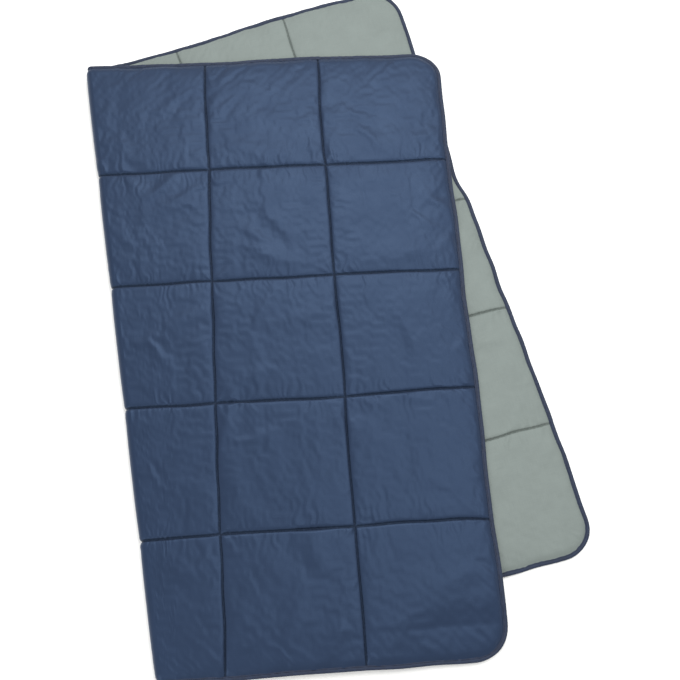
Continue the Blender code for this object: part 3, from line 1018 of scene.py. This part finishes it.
def tape_section(width):
    """Outline of the folded tape: depth in from the edge and height over its middle."""
    inside = TAPE_HALF - TAPE_WALL
    top = [(width, TAPE_HALF - 0.2), (0.85 * width, TAPE_HALF), (STITCH_INSET, TAPE_HALF - 0.45)]
    top += [(0.55 * width, TAPE_HALF + 0.05), (0.4 * width, TAPE_HALF + 0.2)]
    turns = [math.radians(a) for a in (75, 50, 25, 0)]
    top += [(TAPE_HALF * (1.0 - math.cos(a)), TAPE_HALF * math.sin(a)) for a in turns]
    bottom = [(depth, -rise) for depth, rise in reversed(top[:-1])]
    inner = [(width, -inside), (2.0 * TAPE_WALL, -inside), (TAPE_WALL, 0.0), (2.0 * TAPE_WALL, inside)]
    return top + bottom + inner + [(width, inside)]


def tape_half(half, sizes):
    outer_s, outer_v = edge_line(half, 0.0)
    run = run_along(outer_s, outer_v)
    seed = sizes.seed + 60 + HALVES.index(half)
    free = smooth((crease(half, outer_v) - outer_s) / 60.0)
    lift = free * (0.25 * waves(run, 16.0, seed) + 0.2 * waves(run, 45.0, seed + 5))
    sway = free * (0.3 * waves(run, 60.0, seed + 9) + 0.15 * waves(run, 14.0, seed + 13))
    section = tape_section(sizes.tape_width / MM)
    rings, place = [], []
    around = 0.0
    last = section[0]
    for depth, rise in section:
        s, v = edge_line(half, depth)
        inward = np.stack([s - outer_s, v - outer_v])
        share = sway * min(1.0, depth) / np.maximum(np.hypot(*inward), 1e-6)
        height = np.maximum(middle_level(half, outer_s, outer_v, sizes) + rise + lift, 0.1)
        s, v = np.stack([s, v]) + share * inward
        rings.append(laid(half, s, v, height, sizes))
        around += math.dist(last, (depth, rise))
        last = (depth, rise)
        place.append(np.stack([run, np.full(len(run), around)], -1))
    points = np.stack(rings, 1)
    faces = ring_faces(len(run), len(section), True)
    material = finish_of("navy_binding_tape")
    made = add_piece(f"edge_binding_{half}_tape", points, faces, np.stack(place, 1), material)
    if half == "upper":
        made.data.flip_normals()
    return finished(made, half + "_half", "navy_binding_tape", "edge_binding_" + half)


def tape_fold(end, edge, direction, sizes):
    """The binding where it goes round one end of the fold."""
    section = tape_section(sizes.tape_width / MM)
    angle = np.linspace(0.0, math.pi, RING_STEPS + 1)
    depth = np.array([d for d, _ in section])
    rise = np.array([r for _, r in section])
    points = ring_points(angle[:, None], edge + direction * depth[None], 0.5 * LOFT + rise[None])
    place = np.stack(np.broadcast_arrays(angle[:, None] * 0.5 * LOFT, depth[None] + rise[None]), -1)
    faces = ring_faces(len(angle), len(section), True)
    material = finish_of("navy_binding_tape")
    made = add_piece(f"edge_binding_fold_{end}_tape", points, faces, place, material)
    if end == "head":
        made.data.flip_normals()
    return bent(made, TAPE_FOLD_LEVEL, "navy_binding_tape", "edge_binding_fold_" + end)


# Sewing thread


THREAD_RADIUS = 0.42
THREAD_PROUD = 0.5
STITCH_DEPTH = 0.55
STATIONS_A_STITCH = 3
THREAD_NAMES = ("needle", "bobbin")
THREAD_SLOTS = ("navy_sewing_thread", "sage_sewing_thread")


def stitch_dip(count):
    """How deep each station of a line of stitches lies: stitches dive where they end."""
    phase = np.arange(count) % STATIONS_A_STITCH
    return np.where(phase == 0, STITCH_DEPTH, 0.0)


def stations(length, sizes):
    """Even stations along a seam, a whole number of them to a stitch."""
    step = sizes.stitch_length / MM / STATIONS_A_STITCH
    return np.linspace(0.0, 1.0, max(4, round(length / step)))


def thread_piece(node, path, side, slot):
    """A thread as a thin tube along a path in the frame, named after its node there."""
    points = tube(path, side, THREAD_RADIUS, 4)
    run = np.concatenate([[0.0], np.cumsum(np.linalg.norm(np.diff(path, axis=0), axis=1))])
    around = np.arange(4) * THREAD_RADIUS
    place = np.stack(np.broadcast_arrays(run[:, None], around[None]), -1)
    name = node.replace("_thread", "_stitches")
    return add_piece(name, points, ring_faces(len(path), 4, True), place, finish_of(slot))


def sew(half, side, seam, s, v, across, sizes):
    """One thread of a quilting seam, along s and v on a cloth of a half."""
    up = 1.0 if faces_up(half, side) else -1.0
    height = cloth_level(half, side, s, v, sizes) + up * (THREAD_PROUD - stitch_dip(len(s)))
    path = laid(half, s, v, np.maximum(height, 0.5), sizes)
    node = f"{half}_{seam}_{THREAD_NAMES[side]}_thread"
    made = thread_piece(node, path, across, THREAD_SLOTS[side])
    finished(made, half + "_half", THREAD_SLOTS[side], node)


def column_ends(half, s, sizes):
    """The v at which a column seam starts and ends."""
    start, end = sizes.tape_width / MM, LENGTH - sizes.tape_width / MM
    if crease(half, start) - s < CREASE_FADE:
        start = (CREASE_FADE - (crease(half, 0.0) - s)) / TAN
    return start, end


def stitch_columns(half, sizes):
    across = np.array([[1.0, 0.0, 0.0]])
    for side in (0, 1):
        for number, line in COLUMN_SEAMS[half].items():
            start, end = column_ends(half, line, sizes)
            v = start + (end - start) * stations(end - start, sizes)
            sew(half, side, f"column_{number}", np.full(len(v), line), v, across, sizes)


def stitch_rows(half, sizes):
    across = np.array([[0.0, 1.0, 0.0]])
    for side in (0, 1):
        for number, line in ROW_SEAMS.items():
            start, end = sizes.tape_width / MM, crease(half, line)
            s = start + (end - start) * stations(end - start, sizes)
            sew(half, side, f"row_{number}", s, np.full(len(s), line), across, sizes)


def stitch_fold(sizes):
    for side, away in ((0, 1.0), (1, -1.0)):
        for number, line in ROW_SEAMS.items():
            v = np.full(2 * RING_STEPS + 1, line)
            angle = np.linspace(0.0, math.pi, len(v))
            radius = ring_radius(side, angle, v, sizes) + away * (THREAD_PROUD - stitch_dip(len(v)))
            path = ring_points(angle, v, radius)
            node = f"fold_row_{number}_{THREAD_NAMES[side]}_thread"
            made = thread_piece(node, path, np.array([[0.0, 1.0, 0.0]]), THREAD_SLOTS[side])
            bent(made, FOLD_LEVEL[side], THREAD_SLOTS[side], node)


def stitch_binding(half, sizes):
    s, v = edge_line(half, STITCH_INSET)
    run = run_along(s, v)
    places = stations(run[-1], sizes) * run[-1]
    s, v = np.interp(places, run, s), np.interp(places, run, v)
    middle = middle_level(half, *edge_below(half, len(s)), sizes)
    navy_up = 1.0 if half == "upper" else -1.0
    for name, away in (("needle", navy_up), ("bobbin", -navy_up)):
        height = middle + away * (TAPE_HALF - 0.15 - stitch_dip(len(s)))
        path = laid(half, s, v, np.maximum(height, 0.5), sizes)
        node = f"{half}_binding_{name}_thread"
        made = thread_piece(node, path, np.array([[0.6, 0.8, 0.0]]), "navy_sewing_thread")
        finished(made, half + "_half", "navy_sewing_thread", node)


def edge_below(half, count):
    """The points of the edge that lie beside even stations of the binding's stitch line."""
    outer_s, outer_v = edge_line(half, 0.0)
    run = run_along(*edge_line(half, STITCH_INSET))
    places = np.linspace(0.0, run[-1], count)
    return np.interp(places, run, outer_s), np.interp(places, run, outer_v)


# Stage: camera, soft light and floor


CAMERA_PLACE = Vector((-0.2045, -0.9411, 2.3095))
CAMERA_FORWARD = Vector((0.09183, 0.34108, -0.93554))
CAMERA_UP = Vector((0.15527, 0.92311, 0.35179))
CAMERA_LENS = 55.6


def add_camera():
    data = bpy.data.cameras.new("camera")
    data.lens = CAMERA_LENS
    data.sensor_width = 36.0
    camera = bpy.data.objects.new("camera", data)
    forward = CAMERA_FORWARD.normalized()
    right = forward.cross(CAMERA_UP).normalized()
    up = right.cross(forward)
    turned = Matrix((right, up, -forward)).transposed().to_4x4()
    camera.matrix_world = Matrix.Translation(CAMERA_PLACE) @ turned
    bpy.context.scene.collection.objects.link(camera)
    bpy.context.scene.camera = camera


def add_softbox(name, place, aim, width, height, power):
    data = bpy.data.lights.new(name, "AREA")
    data.shape = "RECTANGLE"
    data.size = width
    data.size_y = height
    data.energy = power
    light = bpy.data.objects.new(name, data)
    light.location = place
    light.rotation_euler = (Vector(aim) - Vector(place)).to_track_quat("-Z", "Y").to_euler()
    bpy.context.scene.collection.objects.link(light)


def add_world(strength):
    world = bpy.data.worlds.new("white cyclorama")
    world.use_nodes = True
    sky = world.node_tree.nodes["Background"]
    sky.inputs["Color"].default_value = (1.0, 1.0, 1.0, 1.0)
    sky.inputs["Strength"].default_value = strength
    bpy.context.scene.world = world


def add_floor(colour):
    mesh = bpy.data.meshes.new("floor")
    far = 30.0
    below = -0.0005
    corners = [(-far, -far, below), (far, -far, below), (far, far, below), (-far, far, below)]
    mesh.from_pydata(corners, [], [(0, 1, 2, 3)])
    mesh.materials.append(studio_paper("seamless paper", colour))
    floor = bpy.data.objects.new("floor", mesh)
    bpy.context.scene.collection.objects.link(floor)


# Operators, one for each group of like pieces


class StageOperator(bpy.types.Operator):
    """Add the camera, the soft studio light and the pale floor"""

    bl_idname = "camp_blanket.stage"
    bl_label = "Studio stage"

    def execute(self, context):
        add_camera()
        add_world(0.95)
        add_softbox("overhead", (0.5, 1.75, 2.6), (0.0, 0.1, 0.0), 2.0, 1.3, 58.0)
        add_softbox("right", (1.0, -0.1, 2.7), (0.2, -0.3, 0.0), 1.0, 2.2, 29.0)
        add_softbox("front", (-1.9, -1.9, 1.7), (-0.2, -0.3, 0.0), 1.5, 1.5, 24.0)
        add_floor(context.scene.camp_blanket_colours.floor)
        context.scene.view_settings.view_transform = "Standard"
        return {"FINISHED"}


class StitchOperator(bpy.types.Operator):
    """Sew the quilting seams and the binding with needle and bobbin thread"""

    bl_idname = "camp_blanket.stitches"
    bl_label = "Stitches"

    def execute(self, context):
        sizes = context.scene.camp_blanket_sizes
        for half in HALVES:
            stitch_columns(half, sizes)
            stitch_rows(half, sizes)
            stitch_binding(half, sizes)
        stitch_fold(sizes)
        return {"FINISHED"}


class BindingOperator(bpy.types.Operator):
    """Fold the tape over the edges"""

    bl_idname = "camp_blanket.binding"
    bl_label = "Edge binding"

    def execute(self, context):
        sizes = context.scene.camp_blanket_sizes
        for half in HALVES:
            tape_half(half, sizes)
        tape_fold("head", 0.0, 1.0, sizes)
        tape_fold("foot", LENGTH, -1.0, sizes)
        return {"FINISHED"}


class BattingOperator(bpy.types.Operator):
    """Lay the batting between the cloths"""

    bl_idname = "camp_blanket.batting"
    bl_label = "Batting"

    def execute(self, context):
        sizes = context.scene.camp_blanket_sizes
        for half in HALVES:
            batting_half(half, sizes)
        batting_fold(sizes)
        return {"FINISHED"}


class LiningOperator(bpy.types.Operator):
    """Make the sage lining of both halves and of the fold"""

    bl_idname = "camp_blanket.lining"
    bl_label = "Lining"

    def execute(self, context):
        sizes = context.scene.camp_blanket_sizes
        for half in HALVES:
            made = cloth_piece("lining", half, 1, "sage_lining_cloth", sizes)
        fold_cloth_piece("lining", 1, "sage_lining_cloth", sizes)
        return {"FINISHED"}


class OuterShellOperator(bpy.types.Operator):
    """Make the navy face of both halves and of the fold"""

    bl_idname = "camp_blanket.outer_shell"
    bl_label = "Outer shell"

    def execute(self, context):
        sizes = context.scene.camp_blanket_sizes
        for half in HALVES:
            made = cloth_piece("outer_shell", half, 0, "navy_face_cloth", sizes)
        made = fold_cloth_piece("outer_shell", 0, "navy_face_cloth", sizes)
        return {"FINISHED"}


OPERATORS = (
    StageOperator,
    StitchOperator,
    BindingOperator,
    BattingOperator,
    LiningOperator,
    OuterShellOperator,
)


class BlanketPanel(bpy.types.Panel):
    bl_idname = "VIEW3D_PT_camp_blanket"
    bl_label = "Camp Blanket"
    bl_space_type = "VIEW_3D"
    bl_region_type = "UI"
    bl_category = "Camp Blanket"

    def draw(self, context):
        layout = self.layout
        for group in (context.scene.camp_blanket_sizes, context.scene.camp_blanket_colours):
            box = layout.box()
            for name in group.__annotations__:
                box.prop(group, name)
        for operator in OPERATORS:
            layout.operator(operator.bl_idname)


CLASSES = (BlanketSizes, BlanketColours, *OPERATORS, BlanketPanel)


def register():
    for each in CLASSES:
        bpy.utils.register_class(each)
    bpy.types.Scene.camp_blanket_sizes = PointerProperty(type=BlanketSizes)
    bpy.types.Scene.camp_blanket_colours = PointerProperty(type=BlanketColours)


def unregister():
    del bpy.types.Scene.camp_blanket_colours
    del bpy.types.Scene.camp_blanket_sizes
    for each in reversed(CLASSES):
        bpy.utils.unregister_class(each)


def main():
    register()
    for operator in OPERATORS:
        group, name = operator.bl_idname.split(".")
        getattr(getattr(bpy.ops, group), name)()


if __name__ == "__main__":
    main()
